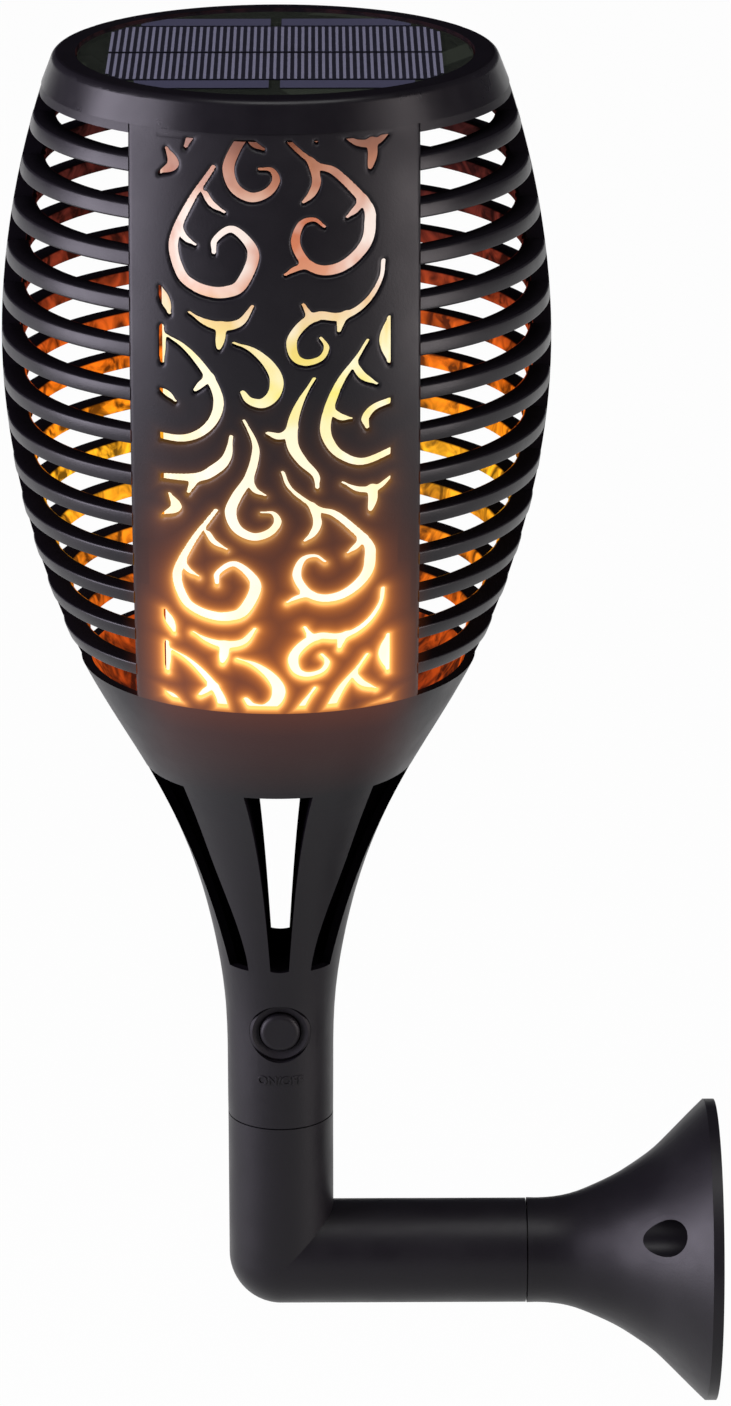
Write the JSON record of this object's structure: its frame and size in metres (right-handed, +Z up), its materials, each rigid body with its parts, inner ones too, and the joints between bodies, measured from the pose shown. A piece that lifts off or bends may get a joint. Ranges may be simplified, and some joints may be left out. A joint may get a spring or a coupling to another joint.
{
  "type": "torch wall sconce",
  "caption": "Solar torch wall light with a pierced scrollwork lantern head that turns on a bent arm from a round wall flange, with a push button on the tube.",
  "frame": {"origin": "centre of the three-screw circle, on the wall plane at the back of the flange", "axes": "+X into the wall, -Y the front with the push button, +Z up along the torch"},
  "size_m": [0.16, 0.12, 0.317],
  "materials": {
    "black_plastic": "satin black moulded plastic, fine grain",
    "cap_plastic": "satin black moulded plastic",
    "opal_plastic": "opal diffusing plastic, lit from inside",
    "white_plastic": "white moulded plastic",
    "flex_board": "white flexible circuit",
    "led": "yellow phosphor in a clear package",
    "cell_wrap": "shrink sleeve over a steel can",
    "circuit_board": "green solder mask on glass epoxy",
    "component": "moulded component bodies",
    "wire": "insulated wire",
    "screw_steel": "zinc-plated steel",
    "seal_rubber": "soft black rubber",
    "bezel_rubber": "silicone rubber, satin",
    "solar_substrate": "grey-green circuit laminate",
    "solar_silicon": "dark blue silicon with pale metal fingers",
    "solar_resin": "clear poured resin"
  },
  "bodies": {
    "bracket": {"wall_flange": "black_plastic", "arm_elbow": "black_plastic"},
    "head": {"torch_neck": "black_plastic", "swivel_o_ring": "seal_rubber", "front_panel": "black_plastic", "back_panel": "black_plastic", "slats_front_left": "black_plastic", "slats_front_right": "black_plastic", "slats_back_left": "black_plastic", "slats_back_right": "black_plastic", "side_rib_left": "black_plastic", "side_rib_right": "black_plastic", "cage_top_ring": "black_plastic", "diffuser_base": "white_plastic", "diffuser_tube": "opal_plastic", "diffuser_top": "white_plastic", "led_core": "white_plastic", "led_flex_board": "flex_board", "led_chips": "led", "battery_cell": "cell_wrap", "battery_holder": "component", "battery_leads": "wire", "solar_cap": "cap_plastic", "cap_tray": "cap_plastic", "cap_seal": "seal_rubber", "cap_screws": "screw_steel", "control_board": "circuit_board", "board_components": "component", "board_screws": "screw_steel", "solar_leads": "wire", "solar_board": "solar_substrate", "solar_cells": "solar_silicon", "solar_resin": "solar_resin", "button_bezel": "bezel_rubber", "switch_body": "component", "switch_board": "circuit_board", "switch_screws": "screw_steel", "switch_leads": "wire"},
    "button": {"button_cap": "black_plastic"},
    "plunger": {"switch_plunger": "component"}
  },
  "joints": [
    {"name": "head_twist", "type": "hinge", "parent": "bracket", "child": "head", "pos_m": [-0.1, 0, 0.0355], "axis": [0, 0, 1], "continuous": true},
    {"name": "button_press", "type": "slide", "parent": "head", "child": "button", "axis": [0, 1, 0], "range_m": [0, 0.0012], "stiffness_N_per_m": 300, "springref_m": -0.002},
    {"name": "plunger_press", "type": "slide", "parent": "head", "child": "plunger", "axis": [0, 1, 0], "range_m": [0, 0.0012]}
  ],
  "couplings": [
    {"joint": "plunger_press", "follows": "button_press", "ratio": 1}
  ]
}
